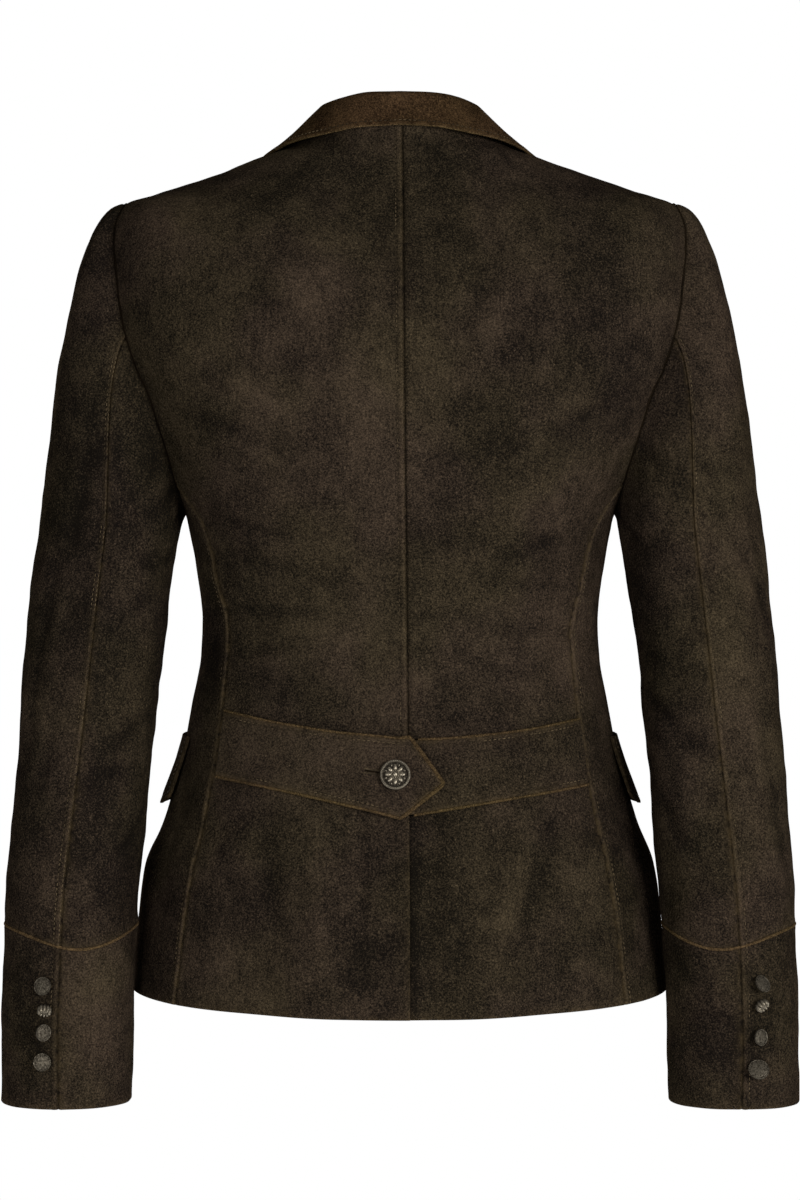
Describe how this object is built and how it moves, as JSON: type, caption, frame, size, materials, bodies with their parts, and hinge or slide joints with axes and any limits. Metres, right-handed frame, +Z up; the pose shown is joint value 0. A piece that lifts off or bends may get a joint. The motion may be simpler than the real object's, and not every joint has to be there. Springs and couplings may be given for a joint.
{
  "type": "suede trachten blazer",
  "caption": "Hollow women's suede blazer with collar, lapels, long sleeves with deep buttoned cuffs and a pointed half belt on the back.",
  "frame": {"origin": "middle of the wearer's neck, level with the neck ends of the shoulder seams, where the wearer's shoulders hold the jacket", "axes": "+Z up, the jacket's front faces -Y, the wearer's left is +X"},
  "size_m": [0.543, 0.2688, 0.6839],
  "materials": {
    "suede": "dark olive brown suede, mottled and matt",
    "collar_suede": "lighter warm brown suede, matt",
    "tan_edge": "tan leather edge, lightly worn",
    "old_silver": "antique silver, dark in its hollows"
  },
  "bodies": {
    "root": {"back_left": "suede", "back_right": "suede", "side_left": "suede", "side_right": "suede", "front_left": "suede", "front_right": "suede", "lapel_left": "collar_suede", "lapel_right": "collar_suede", "collar": "collar_suede", "pocket_flap_left": "suede", "pocket_flap_right": "suede", "sleeve_upper_left": "suede", "sleeve_upper_right": "suede", "sleeve_under_left": "suede", "sleeve_under_right": "suede", "cuff_left": "suede", "cuff_right": "suede", "cuff_piping_left": "tan_edge", "cuff_piping_right": "tan_edge", "belt_left": "suede", "belt_right": "suede", "belt_left_binding": "tan_edge", "belt_right_binding_top": "tan_edge", "belt_right_binding_bottom": "tan_edge", "belt_button": "old_silver", "front_button_1": "old_silver", "front_button_2": "old_silver", "front_button_3": "old_silver", "cuff_button_left_1": "old_silver", "cuff_button_left_2": "old_silver", "cuff_button_left_3": "old_silver", "cuff_button_left_4": "old_silver", "cuff_button_right_1": "old_silver", "cuff_button_right_2": "old_silver", "cuff_button_right_3": "old_silver", "cuff_button_right_4": "old_silver"}
  },
  "joints": []
}
